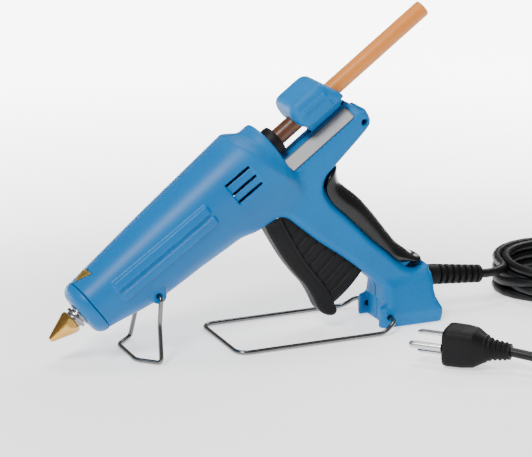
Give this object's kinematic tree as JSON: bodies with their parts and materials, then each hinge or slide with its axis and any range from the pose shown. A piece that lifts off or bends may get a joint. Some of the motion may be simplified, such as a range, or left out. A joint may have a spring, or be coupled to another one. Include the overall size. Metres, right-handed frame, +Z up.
{
  "type": "hot melt glue gun",
  "caption": "Mains hot melt glue gun with a lever trigger, sliding stick feed, brass nozzle, folding wire stands, cord and plug.",
  "frame": {"origin": "On the floor under the middle of the gun: halfway from the nozzle tip to the heel of the base, on the middle plane.", "axes": "+X from the nozzle back to the handle, +Z up, -Y the left side of the gun, which is the side with the view of the label."},
  "size_m": [0.4225, 0.2205, 0.2164],
  "materials": {
    "shell": "satin sky blue moulded plastic",
    "gold": "satin gold badge",
    "label": "brushed silver-grey label",
    "brass": "bright machined brass",
    "steel": "plated steel",
    "wire": "bright nickel-plated wire",
    "aluminium": "cast aluminium",
    "ceramic": "white ceramic",
    "mica": "mica sheet",
    "glue": "translucent amber hot melt glue",
    "black_plastic": "satin black plastic",
    "black_rubber": "black rubber",
    "gloss_black": "glossy black soft grip",
    "cord": "black vinyl cord jacket"
  },
  "bodies": {
    "gun_body": {"housing_left": "shell", "housing_right": "shell", "nose_cap": "shell", "badge": "gold", "label_plate": "label", "nozzle": "brass", "valve_body": "steel", "valve_spring": "steel", "melt_chamber": "aluminium", "heater_left": "ceramic", "heater_right": "ceramic", "heat_shield": "mica", "thermal_switch": "ceramic", "inlet_sleeve": "black_rubber", "trigger_pin": "steel", "trigger_spring": "steel", "grip_pad": "gloss_black", "screw_1": "steel", "screw_2": "steel", "screw_3": "steel", "screw_4": "steel", "screw_5": "steel", "screw_6": "steel", "strain_relief": "black_rubber", "cord_clamp": "ceramic", "terminal_block": "ceramic", "power_cord": "cord", "cord_coil": "cord", "plug_cord": "cord", "plug_body": "black_rubber", "plug_blade_upper": "steel", "plug_blade_lower": "steel", "plug_ground_pin": "steel"},
    "feed": {"feed_carriage": "shell", "gripper_jaw": "steel", "gripper_spring": "steel", "drive_bar": "black_plastic", "glue_stick": "glue"},
    "trigger": {"trigger": "black_plastic"},
    "ball": {"valve_ball": "steel"},
    "stand": {"rear_stand": "wire"},
    "bail": {"front_bail": "wire"}
  },
  "joints": [
    {"name": "trigger_hinge", "type": "hinge", "parent": "gun_body", "child": "trigger", "pos_m": [0.016, 0, 0.08505], "axis": [0, -1, 0], "range_deg": [0, 17], "stiffness_Nm_per_rad": 1.2},
    {"name": "feed_slide", "type": "slide", "parent": "gun_body", "child": "feed", "axis": [-0.8018, 0, -0.5976], "range_m": [0, 0.00537]},
    {"name": "valve_slide", "type": "slide", "parent": "gun_body", "child": "ball", "axis": [-0.8018, 0, -0.5976], "range_m": [0, 0.0012], "stiffness_N_per_m": 300},
    {"name": "rear_stand_hinge", "type": "hinge", "parent": "gun_body", "child": "stand", "pos_m": [0.0954, 0, 0.0076], "axis": [0, -1, 0], "range_deg": [0, 95]},
    {"name": "front_bail_hinge", "type": "hinge", "parent": "gun_body", "child": "bail", "pos_m": [-0.0677, 0, 0.0423], "axis": [0, -1, 0], "range_deg": [0, 110]}
  ],
  "couplings": [
    {"joint": "feed_slide", "follows": "trigger_hinge", "m_per_rad": 0.018}
  ]
}
